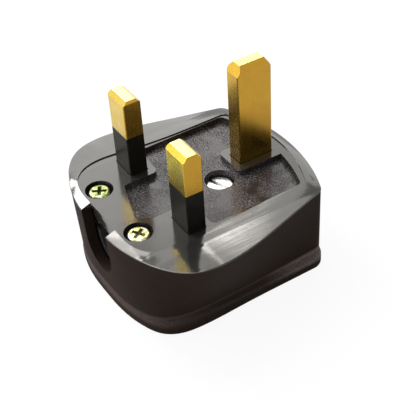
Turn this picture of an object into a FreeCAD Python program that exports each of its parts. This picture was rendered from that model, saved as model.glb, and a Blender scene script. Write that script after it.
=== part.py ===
import FreeCAD, Part
import math
import os
from FreeCAD import Vector

# Rewireable three pin plug for 13 A sockets, lying on its back with the pins up.
# Sizes are in millimetres. While a piece is made, x runs across the plug with the
# neutral pin on the +x side, y runs from the line and neutral pins' centre line
# towards the earth pin, and z = 0 is the flat panel that the pins stand on.
# save() then moves each piece to the part's own origin, under the middle of the body.

# Pins: sections and lengths of the standard, and where they stand
PIN_SPACING = 22.23
EARTH_PIN_Y = 22.23
PIN_WIDTH = 6.35
PIN_THICK = 4.0
PIN_LENGTH = 17.7
EARTH_WIDTH = 4.0
EARTH_DEPTH = 8.0
EARTH_LENGTH = 22.73
PIN_EDGE_R = 0.35
# Bevels at the tips: height and inset of the pair across x, then of the pair across y
TIP_BEVELS = (0.6, 0.25, 1.0, 1.0)
EARTH_TIP_BEVELS = (1.1, 0.9, 2.1, 1.2)
TIP_EDGE_R = 0.2
SLEEVE_LENGTH = 9.1
SLEEVE_WALL = 0.6
PIN_FIT = 0.08

# How far a cut runs past the face that it opens, and a rib into the wall it stands on
PAST = 1.0
ROOT = 0.5

# Levels below the panel, going down
RIM_CREST = 0.25
RIM_MIDDLE = -0.1
RIM_EDGE = -0.55
PARTING_Z = -0.8
BASE_UNDERSIDE = -3.4
WAIST_Z = -17.0
LEDGE_Z = -17.45
FLANGE_Z = -18.3
BODY_DEPTH = 20.3

# Body outline at the rim's outer edge, which leans in by RIM_LEAN down to the parting line
CABLE_END = 15.3
EARTH_END = 31.25
RIM_STATIONS = [(5.61, -15.12), (10.95, -14.22), (15.71, -12.53), (19.99, -10.13), (23.16, -6.65),
                (24.45, -2.23), (24.2, 3.64), (23.09, 9.27), (21.49, 14.88)]
RIM_FLANK_END = (18.39, 25.88)
RIM_FLANK_SLOPE = 0.28
RIM_CORNER_R = 2.4
RIM_LEAN = 0.1
RIM_EDGE_R = 0.18

# Body outline at the waist, above the finger-grip flange
WAIST_CABLE_END = 14.5
WAIST_EARTH_END = 30.6
WAIST_STATIONS = [(4.6, -14.45), (8.6, -14.0), (12.2, -13.05), (15.1, -11.4), (17.0, -8.6),
                  (17.9, -4.2), (18.1, 1.5), (18.1, 8.0), (18.05, 14.5)]
WAIST_FLANK_END = (17.85, 25.6)
WAIST_FLANK_SLOPE = 0.03
WAIST_CORNER_R = 2.6

# Outline of the ledge of the finger-grip flange, broad along the flanks and the earth end
LEDGE_CABLE_END = 14.53
LEDGE_EARTH_END = 31.3
LEDGE_STATIONS = [(4.65, -14.47), (8.8, -13.98), (12.55, -12.98), (15.6, -11.3), (17.55, -8.4),
                  (18.55, -4.0), (19.0, 1.8), (19.1, 8.4), (19.1, 14.9)]
LEDGE_FLANK_END = (19.1, 24.9)
LEDGE_FLANK_SLOPE = 0.0
LEDGE_CORNER_R = 2.95

# Outline of the flange itself, round the back
FLANGE_CABLE_END = 14.6
FLANGE_EARTH_END = 31.5
FLANGE_STATIONS = [(4.8, -14.5), (9.2, -13.95), (13.2, -12.85), (16.5, -11.1), (18.6, -8.1),
                   (19.45, -3.6), (19.5, 2.0), (19.3, 8.5), (19.25, 15.0)]
FLANGE_FLANK_END = (19.25, 24.8)
FLANGE_FLANK_SLOPE = 0.0
FLANGE_CORNER_R = 3.0
FLANGE_EDGE_R = 0.9

# Sunk panel in the middle of the pin face
PANEL_CABLE_END = 12.9
PANEL_EARTH_END = 29.0
PANEL_STATIONS = [(4.5, -12.9), (9.3, -12.85), (12.9, -11.75), (15.45, -9.3), (16.6, -5.6),
                  (16.4, -1.0), (15.6, 4.5), (15.1, 9.5), (14.9, 15.0)]
PANEL_FLANK_END = (14.85, 24.3)
PANEL_FLANK_SLOPE = 0.0
PANEL_CORNER_R = 1.6

# Recess for the moulded markings, in the panel
RECESS_DEPTH = 1.2
RECESS_HALF_WIDTH = 14.5
RECESS_EARTH_END = 27.2
RECESS_EARTH_R = 38.0
RECESS_PIN_EDGE = 3.4
RECESS_THROAT_HALF_WIDTH = 6.1
RECESS_THROAT_END_LINE = 4.7
RECESS_THROAT_END_NEUTRAL = 7.9
RECESS_THROAT_STEP = 2.0
RECESS_OVERLAP = 3.0
RECESS_CORNER_R = 1.3
EARTH_PAD_HALF_WIDTH = 4.0
EARTH_PAD_START = 16.7
EARTH_PAD_R = 1.2

# Cable slot in the end of the body
SLOT_HALF_WIDTH = 5.05
SLOT_CENTRE_Z = -7.35
CORD_CHANNEL_R = 3.9

# Shell thicknesses and the fit between base and cover
COVER_WALL = 2.2
COVER_FLOOR = 2.3
SPIGOT_GAP = 0.25
SPIGOT_ROOT = 0.2
SEAM_GAP = 0.05
SPACE_ABOVE_SEAM = 1.5
SMALLEST_CORNER_R = 0.3

# Cord grip
GRIP_SCREW_X = 7.93
GRIP_SCREW_Y = -9.43
GRIP_HEAD_R = 2.35
GRIP_HEAD_HEIGHT = 1.9
GRIP_HEAD_TOP = -0.3
GRIP_HEAD_EDGE_R = 0.7
GRIP_HOLE_R = 2.9
GRIP_SHANK_R = 1.7
GRIP_SHANK_LENGTH = 11.1
GRIP_POST_R = 3.3
GRIP_POST_END = -6.5
GRIP_BAR_HALF_LENGTH = 10.9
GRIP_BAR_WIDTH = 5.6
GRIP_BAR_THICK = 3.4
GRIP_BAR_GAP = 0.4
GRIP_BAR_SEAT_GAP = 0.1
GRIP_BAR_EAR_R = 2.2
GRIP_SADDLE_WALL = 2.3
GRIP_TOOTH = 0.5
GRIP_TOOTH_ROOT = 0.2
GRIP_TOOTH_OFFSET = 1.4
GRIP_TOOTH_HALF_THICK = 0.4
GRIP_TOOTH_HALF_WIDTH = 2.6
CROSS_HALF_LENGTH = 1.45
CROSS_WIDTH = 0.75
CROSS_DEPTH = 1.1
CROSS_TURN = 30.0

# Cover screw, its retainer and its insert
COVER_SCREW_X = 2.4
COVER_SCREW_Y = 12.75
COVER_HEAD_R = 2.85
COVER_HEAD_HEIGHT = 2.2
COVER_HEAD_TOP = -2.65
COVER_HOLE_R = 3.15
COVER_SHANK_R = 1.75
COVER_SHANK_LENGTH = 8.6
COVER_POST_R = 4.6
COVER_POST_END = -6.5
SCREW_SLOT_WIDTH = 0.9
SCREW_SLOT_DEPTH = 1.1
SCREW_SLOT_TURN = 20.0
SCREW_EDGE_R = 0.35
SCREW_CLEARANCE = 0.3
RETAINER_R = 3.1
RETAINER_THICK = 0.7
RETAINER_FIT = 0.12
BOSS_R = 4.2
BOSS_GAP = 0.2
INSERT_R = 2.7
INSERT_LENGTH = 7.0
INSERT_COLLAR = 2.6
INSERT_GROOVE = 0.4
INSERT_FIT = 0.05
INSERT_HOLE_SPARE = 2.0
THREAD_FIT = 0.05

# Terminals
BLOCK_HEIGHT = 8.0
BLOCK_CHAMFER = 0.4
NEUTRAL_BLOCK = (7.4, 8.0)
NEUTRAL_BLOCK_SHIFT = 0.9
EARTH_BLOCK = (7.0, 8.6)
LINE_BLOCK = (5.6, 7.0)
LINE_BLOCK_X = -5.4
LINE_BLOCK_Y = 12.7
WIRE_HOLE_R = 1.6
WIRE_HOLE_DROP = 3.0
TERMINAL_SCREW_R = 1.6
TERMINAL_HEAD_R = 2.4
TERMINAL_HEAD_HEIGHT = 1.8
TERMINAL_SCREW_LIFT = 0.6
TERMINAL_SLOT_DEPTH = 0.9
TERMINAL_SLOT_TURN = 35.0
PLATE_THICK = 2.0
PLATE_MARGIN = 0.7

# Fuse and its clips
FUSE_LENGTH = 25.4
FUSE_CAP_R = 3.175
FUSE_CAP_LENGTH = 5.6
FUSE_CAP_WALL = 0.35
FUSE_CAP_FIT = 0.05
FUSE_CAP_EDGE_R = 0.3
FUSE_BARREL_R = 2.75
FUSE_X = -12.0
FUSE_MIDDLE_Y = 10.1
CLIP_THICK = 0.55
CLIP_FIT = 0.04
CLIP_LENGTH = 4.6
CLIP_MOUTH_DEG = 96.0
CLIP_LIP = 1.3
CLIP_LIP_ROOT = 0.15
CLIP_SEAT_HALF_WIDTH = 2.4

# Barriers on the base and ribs in the cover
BARRIER_THICK = 1.2
BARRIER_END = -8.6
BARRIER_GAP = 0.4
BARRIER_CLIP_GAP = 1.22
BARRIER_LENGTH = 9.8
RIB_THICK = 1.2
RIB_REACH = 3.2
RIB_TOP_GAP = 1.0
WALL_RIB_R = 0.7
WALL_RIB_YS = (3.0, 10.0, 17.0)
FUSE_REST_GAP = 0.4
FUSE_REST_OFFSET = 3.5
FUSE_REST_HALF_WIDTH = 2.6
FUSE_REST_CUP = 1.2


def box(x0, x1, y0, y1, z0, z1):
    """Block between three pairs of coordinates."""
    return Part.makeBox(x1 - x0, y1 - y0, z1 - z0, Vector(x0, y0, z0))


def rod(x, y, z0, z1, radius):
    """Upright cylinder from z0 up to z1."""
    return Part.makeCylinder(radius, z1 - z0, Vector(x, y, z0), Vector(0, 0, 1))


def rod_along_y(x, z, y0, y1, radius):
    """Cylinder lying along y."""
    return Part.makeCylinder(radius, y1 - y0, Vector(x, y0, z), Vector(0, 1, 0))


def join(first, *others):
    """Union of solids, with the faces that lie on one surface made one."""
    return first.fuse(list(others)).removeSplitter()


def upright_edges(solid, keep=None):
    """Straight edges of a solid that run along z, all of them or those that keep() picks."""
    found = []
    for edge in solid.Edges:
        a = edge.Vertexes[0].Point
        b = edge.Vertexes[-1].Point
        if abs(a.x - b.x) < 1e-6 and abs(a.y - b.y) < 1e-6 and abs(a.z - b.z) > 1e-6:
            if keep is None or keep(a.x, a.y):
                found.append(edge)
    return found


def prism(wire, z0, z1):
    """Solid between z0 and z1 on a flat closed wire that was drawn at z0."""
    return Part.Face(wire).extrude(Vector(0, 0, z1 - z0))


class Outline:
    """Plan of the body at one level.

    The right half runs from the middle of the cable end through the stations on one
    smooth curve to the flank's end, then round the corner on an arc to the earth end,
    which is one arc across the plug. The left half is its mirror image.
    """

    def __init__(self, cable_end, stations, flank_end, slope, corner_r, earth_end):
        self.cable_end = cable_end
        self.stations = stations
        self.flank_end = flank_end
        self.slope = slope
        self.corner_r = corner_r
        self.earth_end = earth_end

    def points(self):
        return [(0.0, -self.cable_end)] + self.stations + [self.flank_end]

    def flank_direction(self):
        size = math.hypot(self.slope, 1.0)
        return -self.slope / size, 1.0 / size

    def curve(self, side, z):
        """Smooth curve of one side, from the cable end to the flank's end."""
        places = [Vector(side * x, y, z) for x, y in self.points()]
        dx, dy = self.flank_direction()
        spline = Part.BSplineCurve()
        spline.interpolate(Points=places, InitialTangent=Vector(side, 0, 0),
                           FinalTangent=Vector(side * dx, dy, 0))
        return spline

    def corner(self):
        """Centre of the corner's arc, and centre height and radius of the earth end's arc."""
        dx, dy = self.flank_direction()
        cx = self.flank_end[0] - self.corner_r * dy
        cy = self.flank_end[1] + self.corner_r * dx
        top = self.earth_end - self.corner_r
        end_y = (top * top - cx * cx - cy * cy) / (2.0 * (top - cy))
        return cx, cy, end_y, self.earth_end - end_y

    def wire(self, z):
        """Closed wire of the whole outline at height z."""
        cx, cy, end_y, end_r = self.corner()
        reach = math.hypot(cx, cy - end_y)
        ux, uy = cx / reach, (cy - end_y) / reach
        touch = (cx + self.corner_r * ux, cy + self.corner_r * uy)
        dx, dy = self.flank_direction()
        mx, my = ux + dy, uy - dx
        size = math.hypot(mx, my)
        middle = (cx + self.corner_r * mx / size, cy + self.corner_r * my / size)

        def at(place, side):
            return Vector(side * place[0], place[1], z)

        right = self.curve(1, z).toShape()
        left = self.curve(-1, z)
        left.reverse()
        corner_right = Part.Arc(at(self.flank_end, 1), at(middle, 1), at(touch, 1)).toShape()
        end = Part.Arc(at(touch, 1), Vector(0, self.earth_end, z), at(touch, -1)).toShape()
        corner_left = Part.Arc(at(touch, -1), at(middle, -1), at(self.flank_end, -1)).toShape()
        return Part.Wire([right, corner_right, end, corner_left, left.toShape()])

    def inset(self, distance):
        """Outline that lies inside this one by a distance, or outside by a negative one."""
        spline = self.curve(1, 0.0)
        moved = []
        for x, y in self.stations:
            tangent = spline.tangent(spline.parameter(Vector(x, y, 0)))[0]
            moved.append((x - distance * tangent.y, y + distance * tangent.x))
        dx, dy = self.flank_direction()
        flank = (self.flank_end[0] - distance * dy, self.flank_end[1] + distance * dx)
        return Outline(self.cable_end - distance, moved, flank, self.slope,
                       max(self.corner_r - distance, SMALLEST_CORNER_R), self.earth_end - distance)

    def toward(self, other, share):
        """Outline that lies part of the way from this one to another."""
        def mix(a, b):
            return a + (b - a) * share

        def mix_places(a, b):
            return (mix(a[0], b[0]), mix(a[1], b[1]))

        stations = [mix_places(a, b) for a, b in zip(self.stations, other.stations)]
        return Outline(mix(self.cable_end, other.cable_end), stations,
                       mix_places(self.flank_end, other.flank_end), mix(self.slope, other.slope),
                       mix(self.corner_r, other.corner_r), mix(self.earth_end, other.earth_end))


RIM = Outline(CABLE_END, RIM_STATIONS, RIM_FLANK_END, RIM_FLANK_SLOPE, RIM_CORNER_R, EARTH_END)
WAIST = Outline(WAIST_CABLE_END, WAIST_STATIONS, WAIST_FLANK_END, WAIST_FLANK_SLOPE,
                WAIST_CORNER_R, WAIST_EARTH_END)
FLANGE = Outline(FLANGE_CABLE_END, FLANGE_STATIONS, FLANGE_FLANK_END, FLANGE_FLANK_SLOPE,
                 FLANGE_CORNER_R, FLANGE_EARTH_END)
LEDGE = Outline(LEDGE_CABLE_END, LEDGE_STATIONS, LEDGE_FLANK_END, LEDGE_FLANK_SLOPE,
                LEDGE_CORNER_R, LEDGE_EARTH_END)
PANEL = Outline(PANEL_CABLE_END, PANEL_STATIONS, PANEL_FLANK_END, PANEL_FLANK_SLOPE,
                PANEL_CORNER_R, PANEL_EARTH_END)

PARTING = RIM.inset(RIM_LEAN)

RIM_REACH = max(x for x, y in RIM_STATIONS) + 2 * PAST
LINE_X = -PIN_SPACING / 2
NEUTRAL_X = PIN_SPACING / 2
FLOOR_Z = -BODY_DEPTH
INNER_FLOOR_Z = FLOOR_Z + COVER_FLOOR
PLATE_BOTTOM = BASE_UNDERSIDE - PLATE_THICK
CLIP_INNER_R = FUSE_CAP_R + CLIP_FIT
CLIP_OUTER_R = CLIP_INNER_R + CLIP_THICK
FUSE_Z = PLATE_BOTTOM - CLIP_OUTER_R
FUSE_START_Y = FUSE_MIDDLE_Y - FUSE_LENGTH / 2
FUSE_END_Y = FUSE_MIDDLE_Y + FUSE_LENGTH / 2
BLOCK_BOTTOM = BASE_UNDERSIDE - BLOCK_HEIGHT
GRIP_SEAT = GRIP_HEAD_TOP - GRIP_HEAD_HEIGHT
COVER_SEAT = COVER_HEAD_TOP - COVER_HEAD_HEIGHT
BOSS_TOP = COVER_POST_END - BOSS_GAP
CLIP_YS = (FUSE_START_Y + FUSE_CAP_LENGTH / 2, FUSE_END_Y - FUSE_CAP_LENGTH / 2)
ORIGIN_SHIFT = Vector(0, -(max(EARTH_END, FLANGE_EARTH_END) - CABLE_END) / 2, BODY_DEPTH)


def cover_inside(z, clearance=0.0):
    """Outline of the cover's inner wall at height z, or of what fits in it with a clearance."""
    share = (PARTING_Z - z) / (PARTING_Z - WAIST_Z)
    top = PARTING.inset(COVER_WALL + clearance)
    return top.toward(WAIST.inset(COVER_WALL + clearance), share)


def inside_space(clearance, z0, z1):
    """Space inside the cover's walls between two heights."""
    low, high = INNER_FLOOR_Z, PARTING_Z + SPACE_ABOVE_SEAM
    space = Part.makeLoft([cover_inside(low, clearance).wire(low),
                           cover_inside(high, clearance).wire(high)], True, True)
    return space.common(box(-RIM_REACH, RIM_REACH, -CABLE_END, EARTH_END, z0, z1))


def pin_hole(x, y, width, depth):
    """Square-cornered hole through the base for a pin."""
    return box(x - width / 2 - PIN_FIT, x + width / 2 + PIN_FIT,
               y - depth / 2 - PIN_FIT, y + depth / 2 + PIN_FIT, BASE_UNDERSIDE - PAST, PAST)


def recess():
    """Sunk field for the markings: a wide part towards the earth end and a throat
    between the line and neutral pins, less the pad that the earth pin stands on."""
    deep, high = -RECESS_DEPTH, RIM_CREST + PAST
    arc_centre = RECESS_EARTH_END - RECESS_EARTH_R
    wide = box(-RECESS_HALF_WIDTH, RECESS_HALF_WIDTH, RECESS_PIN_EDGE, EARTH_END, deep, high)
    wide = wide.common(rod(0, arc_centre, deep, high, RECESS_EARTH_R))
    wide = wide.makeFillet(RECESS_CORNER_R, upright_edges(wide))
    w = RECESS_THROAT_HALF_WIDTH
    inner_end = RECESS_PIN_EDGE + RECESS_OVERLAP
    corners = [(-w, inner_end), (-w, -RECESS_THROAT_END_LINE),
               (w - RECESS_THROAT_STEP, -RECESS_THROAT_END_NEUTRAL),
               (w, -RECESS_THROAT_END_LINE), (w, inner_end), (-w, inner_end)]
    throat = prism(Part.makePolygon([Vector(x, y, deep) for x, y in corners]), deep, high)
    throat = throat.makeFillet(RECESS_CORNER_R / 2,
                               upright_edges(throat, lambda x, y: y < RECESS_PIN_EDGE))
    field = join(wide, throat)
    inner = upright_edges(field, lambda x, y: abs(abs(x) - w) < 0.01 and abs(y - RECESS_PIN_EDGE) < 0.01)
    field = field.makeFillet(RECESS_CORNER_R, inner)
    pad = box(-EARTH_PAD_HALF_WIDTH, EARTH_PAD_HALF_WIDTH, EARTH_PAD_START, EARTH_END,
              deep - PAST, high + PAST)
    pad = pad.makeFillet(EARTH_PAD_R, upright_edges(pad, lambda x, y: y < EARTH_PAD_START + PAST))
    return field.cut(pad)


def make_base():
    """Pin plate: convex glossy rim, sunk panel with its recess, spigot that goes into
    the cover, and on the inside the screw posts and the barriers between terminals."""
    middle = PANEL.toward(RIM, 0.5)
    rim = Part.makeLoft([RIM.wire(RIM_EDGE), middle.wire(RIM_MIDDLE), PANEL.wire(RIM_CREST)],
                        True, False)
    flange = Part.makeLoft([PARTING.wire(PARTING_Z), RIM.wire(RIM_EDGE)], True, True)
    plate = join(flange, rim)
    edge = [e for e in plate.Edges if abs(e.BoundBox.ZMax - RIM_EDGE) < 1e-3
            and abs(e.BoundBox.ZMin - RIM_EDGE) < 1e-3]
    plate = plate.makeFillet(RIM_EDGE_R, edge)
    slab = box(-RIM_REACH, RIM_REACH, -CABLE_END, EARTH_END, BASE_UNDERSIDE, PARTING_Z + SPIGOT_ROOT)
    posts = [rod(side * GRIP_SCREW_X, GRIP_SCREW_Y, GRIP_POST_END, BASE_UNDERSIDE, GRIP_POST_R)
             for side in (-1, 1)]
    posts.append(rod(COVER_SCREW_X, COVER_SCREW_Y, COVER_POST_END, BASE_UNDERSIDE, COVER_POST_R))
    inner = join(slab, *(posts + barriers()))
    inner = inner.common(inside_space(SPIGOT_GAP, INNER_FLOOR_Z, PARTING_Z + SPIGOT_ROOT))
    body = join(plate, inner)
    body = body.cut(prism(PANEL.wire(0.0), 0.0, RIM_CREST + PAST))
    body = body.cut(recess())

    holes = [pin_hole(LINE_X, 0, PIN_WIDTH, PIN_THICK), pin_hole(NEUTRAL_X, 0, PIN_WIDTH, PIN_THICK),
             pin_hole(0, EARTH_PIN_Y, EARTH_WIDTH, EARTH_DEPTH)]
    for side in (-1, 1):
        x = side * GRIP_SCREW_X
        holes.append(rod(x, GRIP_SCREW_Y, GRIP_SEAT, PAST, GRIP_HOLE_R))
        holes.append(rod(x, GRIP_SCREW_Y, GRIP_POST_END - PAST, PAST, GRIP_SHANK_R + SCREW_CLEARANCE))
    x, y = COVER_SCREW_X, COVER_SCREW_Y
    holes.append(rod(x, y, COVER_SEAT, PAST, COVER_HOLE_R))
    holes.append(rod(x, y, COVER_POST_END - PAST, PAST, COVER_SHANK_R + SCREW_CLEARANCE))
    holes.append(rod(x, y, COVER_POST_END - PAST, COVER_POST_END + RETAINER_THICK + RETAINER_FIT,
                     RETAINER_R + RETAINER_FIT))
    notch = box(-SLOT_HALF_WIDTH, SLOT_HALF_WIDTH, -CABLE_END - PAST, -PANEL_CABLE_END,
                BASE_UNDERSIDE - PAST, PAST)
    return body.cut(holes + [notch])


def barriers():
    """Walls on the base's inside that keep the wires of one terminal from the next."""
    t = BARRIER_THICK
    low = BARRIER_END
    top = BASE_UNDERSIDE
    near_neutral = NEUTRAL_X - NEUTRAL_BLOCK[0] / 2 - BARRIER_GAP - t
    near_fuse = max(FUSE_X + CLIP_OUTER_R + BARRIER_CLIP_GAP,
                    LINE_X + PIN_WIDTH / 2 + PLATE_MARGIN + BARRIER_GAP)
    side = EARTH_BLOCK[0] / 2 + BARRIER_GAP
    start = EARTH_PIN_Y - EARTH_BLOCK[1] / 2
    end = NEUTRAL_BLOCK_SHIFT + NEUTRAL_BLOCK[1] / 2 + BARRIER_GAP
    return [box(near_neutral, near_neutral + t, end - BARRIER_LENGTH, end, low, top),
            box(near_fuse, near_fuse + t, end - BARRIER_LENGTH, end, low, top),
            box(side, side + t, start, start + EARTH_BLOCK[1], low, top),
            box(-side - t, -side, start, start + EARTH_BLOCK[1], low, top)]


def make_cover():
    """Matt shell: sides that lean in from the bulged rim to a slim waist, a ledged
    finger-grip flange round the back, the cable slot, and the boss for the screw."""
    top = PARTING_Z - SEAM_GAP
    sides = Part.makeLoft([WAIST.wire(WAIST_Z), PARTING.wire(top)], True, True)
    ledge = Part.makeLoft([LEDGE.wire(LEDGE_Z), WAIST.wire(WAIST_Z)], True, True)
    bevel = Part.makeLoft([FLANGE.wire(FLANGE_Z), LEDGE.wire(LEDGE_Z)], True, True)
    flange = prism(FLANGE.wire(FLOOR_Z), FLOOR_Z, FLANGE_Z)
    flange = flange.makeFillet(FLANGE_EDGE_R, [e for e in flange.Edges if e.BoundBox.ZMax < FLOOR_Z + 1e-4])
    shell = join(sides, ledge, bevel, flange)
    cavity = inside_space(0.0, INNER_FLOOR_Z, PARTING_Z + PAST)
    y0, y1 = -CABLE_END - PAST, -PANEL_CABLE_END + 2 * PAST
    slot = join(rod_along_y(0, SLOT_CENTRE_Z, y0, y1, SLOT_HALF_WIDTH),
                box(-SLOT_HALF_WIDTH, SLOT_HALF_WIDTH, y0, y1, SLOT_CENTRE_Z, PAST))
    shell = shell.cut([cavity, slot])

    boss = rod(COVER_SCREW_X, COVER_SCREW_Y, INNER_FLOOR_Z - ROOT, BOSS_TOP, BOSS_R)
    shell = join(shell, boss, *(boss_ribs() + wall_ribs() + fuse_rests()))
    bore = rod(COVER_SCREW_X, COVER_SCREW_Y, BOSS_TOP - INSERT_LENGTH - INSERT_HOLE_SPARE,
               BOSS_TOP + PAST, INSERT_R + INSERT_FIT)
    return shell.cut(bore)


def boss_ribs():
    """Gussets at the foot of the boss, away from the line terminal's side."""
    t = RIB_THICK / 2
    x, y = COVER_SCREW_X, COVER_SCREW_Y
    low = INNER_FLOOR_Z - ROOT
    top = (INNER_FLOOR_Z + BOSS_TOP) / 2
    near = BOSS_R - ROOT
    far = BOSS_R + RIB_REACH
    return [box(x + near, x + far, y - t, y + t, low, top),
            box(x - t, x + t, y + near, y + far, low, top),
            box(x - t, x + t, y - far, y - near, low, top)]


def wall_ribs():
    """Upright half-round ribs on the inside of the flanks, ending below the base."""
    ribs = []
    top = BASE_UNDERSIDE - RIB_TOP_GAP
    for y in WALL_RIB_YS:
        foot = inner_flank(y, INNER_FLOOR_Z)
        head = inner_flank(y, top)
        for side in (-1, 1):
            a = Vector(side * foot, y, INNER_FLOOR_Z - ROOT)
            b = Vector(side * head, y, top)
            axis = b.sub(a)
            ribs.append(Part.makeCylinder(WALL_RIB_R, axis.Length, a, axis))
    return ribs


def inner_flank(y, z):
    """Half width of the cover's inside at one place along the flank."""
    spline = cover_inside(z).curve(1, z)
    line = Part.LineSegment(Vector(0, y, z), Vector(RIM_REACH, y, z))
    hits = spline.intersect(line)
    return max(hit.X for hit in hits)


def fuse_rests():
    """Two saddles that stand on the cover's floor just clear of the fuse barrel."""
    half = FUSE_REST_HALF_WIDTH
    rests = []
    for y in (FUSE_MIDDLE_Y - FUSE_REST_OFFSET, FUSE_MIDDLE_Y + FUSE_REST_OFFSET):
        post = box(FUSE_X - half, FUSE_X + half, y - RIB_THICK / 2, y + RIB_THICK / 2,
                   INNER_FLOOR_Z - ROOT, FUSE_Z - FUSE_REST_CUP)
        hollow = rod_along_y(FUSE_X, FUSE_Z, y - RIB_THICK, y + RIB_THICK, FUSE_BARREL_R + FUSE_REST_GAP)
        rests.append(post.cut(hollow))
    return rests


def gable(half, reach, z0, length, height, inset):
    """Bar along y with its two upper corners bevelled and the bevels' edges rounded."""
    corners = [(-half, z0), (half, z0), (half, length - height), (half - inset, length),
               (inset - half, length), (-half, length - height), (-half, z0)]
    bar = Part.Face(Part.makePolygon([Vector(x, -reach, z) for x, z in corners]))
    bar = bar.extrude(Vector(0, 2 * reach, 0))
    return bar.makeFillet(TIP_EDGE_R, [e for e in bar.Edges if e.BoundBox.YLength > reach
                                       and e.BoundBox.ZMin > z0 + 1e-4])


def pin_blade(x, y, width, depth, z0, length, bevels):
    """Pin from z0 to its length, with slightly rounded corners and a bevelled tip."""
    height_x, inset_x, height_y, inset_y = bevels
    blade = box(-width / 2, width / 2, -depth / 2, depth / 2, z0, length)
    blade = blade.makeFillet(PIN_EDGE_R, upright_edges(blade))
    blade = blade.common(gable(width / 2, depth, z0, length, height_x, inset_x))
    across = gable(depth / 2, width, z0, length, height_y, inset_y)
    across.rotate(Vector(0, 0, 0), Vector(0, 0, 1), 90)
    blade = blade.common(across)
    blade.translate(Vector(x, y, 0))
    return blade


def terminal_block(x, y, size):
    """Pillar: a block with a wire hole along y and a screw hole from the inside."""
    half_x, half_y = size[0] / 2, size[1] / 2
    block = box(x - half_x, x + half_x, y - half_y, y + half_y, BLOCK_BOTTOM, BASE_UNDERSIDE)
    foot = [e for e in block.Edges if e.BoundBox.ZMax < BLOCK_BOTTOM + 1e-4]
    block = block.makeChamfer(BLOCK_CHAMFER, foot)
    wire_z = BASE_UNDERSIDE - WIRE_HOLE_DROP
    return block.cut([rod_along_y(x, wire_z, y - half_y - PAST, y + half_y + PAST, WIRE_HOLE_R),
                      rod(x, y, BLOCK_BOTTOM - PAST, wire_z, TERMINAL_SCREW_R + THREAD_FIT)])


def make_neutral_pin():
    """Neutral pin: sleeved blade and, below the base, its pillar terminal."""
    core = sleeved_core(NEUTRAL_X)
    return join(core, terminal_block(NEUTRAL_X, NEUTRAL_BLOCK_SHIFT, NEUTRAL_BLOCK))


def make_line_pin():
    """Line pin: sleeved blade and a flat head that carries the fuse clip."""
    half = CLIP_SEAT_HALF_WIDTH + PLATE_MARGIN
    near = min(-PIN_THICK, 2 * CLIP_YS[0] - CLIP_LENGTH) / 2 - PLATE_MARGIN
    far = max(PIN_THICK, 2 * CLIP_YS[0] + CLIP_LENGTH) / 2 + PLATE_MARGIN
    head = box(FUSE_X - half, LINE_X + PIN_WIDTH / 2 + PLATE_MARGIN, near, far,
               PLATE_BOTTOM, BASE_UNDERSIDE)
    return join(sleeved_core(LINE_X), head)


def sleeved_core(x):
    """Blade whose lower part is slimmer, to leave room for the insulating sleeve."""
    blade = pin_blade(x, 0, PIN_WIDTH, PIN_THICK, SLEEVE_LENGTH, PIN_LENGTH, TIP_BEVELS)
    half_x = PIN_WIDTH / 2 - SLEEVE_WALL
    half_y = PIN_THICK / 2 - SLEEVE_WALL
    return join(blade, box(x - half_x, x + half_x, -half_y, half_y, BASE_UNDERSIDE, SLEEVE_LENGTH))


def make_sleeve(x):
    """Insulating sleeve, flush with the bare end of the pin."""
    half_x, half_y = PIN_WIDTH / 2, PIN_THICK / 2
    outer = box(x - half_x, x + half_x, -half_y, half_y, BASE_UNDERSIDE, SLEEVE_LENGTH)
    outer = outer.makeFillet(PIN_EDGE_R, upright_edges(outer))
    t = SLEEVE_WALL
    return outer.cut(box(x - half_x + t, x + half_x - t, -half_y + t, half_y - t,
                         BASE_UNDERSIDE - PAST, SLEEVE_LENGTH + PAST))


def make_earth_pin():
    """Earth pin: longer bare blade and its pillar terminal."""
    blade = pin_blade(0, EARTH_PIN_Y, EARTH_WIDTH, EARTH_DEPTH, BASE_UNDERSIDE, EARTH_LENGTH,
                      EARTH_TIP_BEVELS)
    return join(blade, terminal_block(0, EARTH_PIN_Y, EARTH_BLOCK))


def make_line_terminal():
    """Plate under the far end of the fuse, with the pillar for the line wire."""
    half = CLIP_SEAT_HALF_WIDTH + PLATE_MARGIN
    low_y = LINE_BLOCK_Y - LINE_BLOCK[1] / 2
    plate = join(box(FUSE_X - half, FUSE_X + half, low_y, CLIP_YS[1] + CLIP_LENGTH / 2 + PLATE_MARGIN,
                     PLATE_BOTTOM, BASE_UNDERSIDE),
                 box(FUSE_X, LINE_BLOCK_X, low_y, LINE_BLOCK_Y + LINE_BLOCK[1] / 2,
                     PLATE_BOTTOM, BASE_UNDERSIDE))
    return join(plate, terminal_block(LINE_BLOCK_X, LINE_BLOCK_Y, LINE_BLOCK))


def slotted_head(x, y, radius, z0, z1, slot_depth, from_top, turn):
    """Cheese head with a screwdriver slot in its upper or lower end."""
    head = rod(x, y, z0, z1, radius)
    outer = z1 if from_top else z0
    head = head.makeFillet(SCREW_EDGE_R, [e for e in head.Edges if abs(e.BoundBox.ZMax - outer) < 1e-4
                                          and abs(e.BoundBox.ZMin - outer) < 1e-4])
    w = SCREW_SLOT_WIDTH / 2
    reach = radius + PAST
    low, high = (z1 - slot_depth, z1 + PAST) if from_top else (z0 - PAST, z0 + slot_depth)
    cut = box(x - reach, x + reach, y - w, y + w, low, high)
    cut.rotate(Vector(x, y, 0), Vector(0, 0, 1), turn)
    return head.cut(cut)


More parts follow.
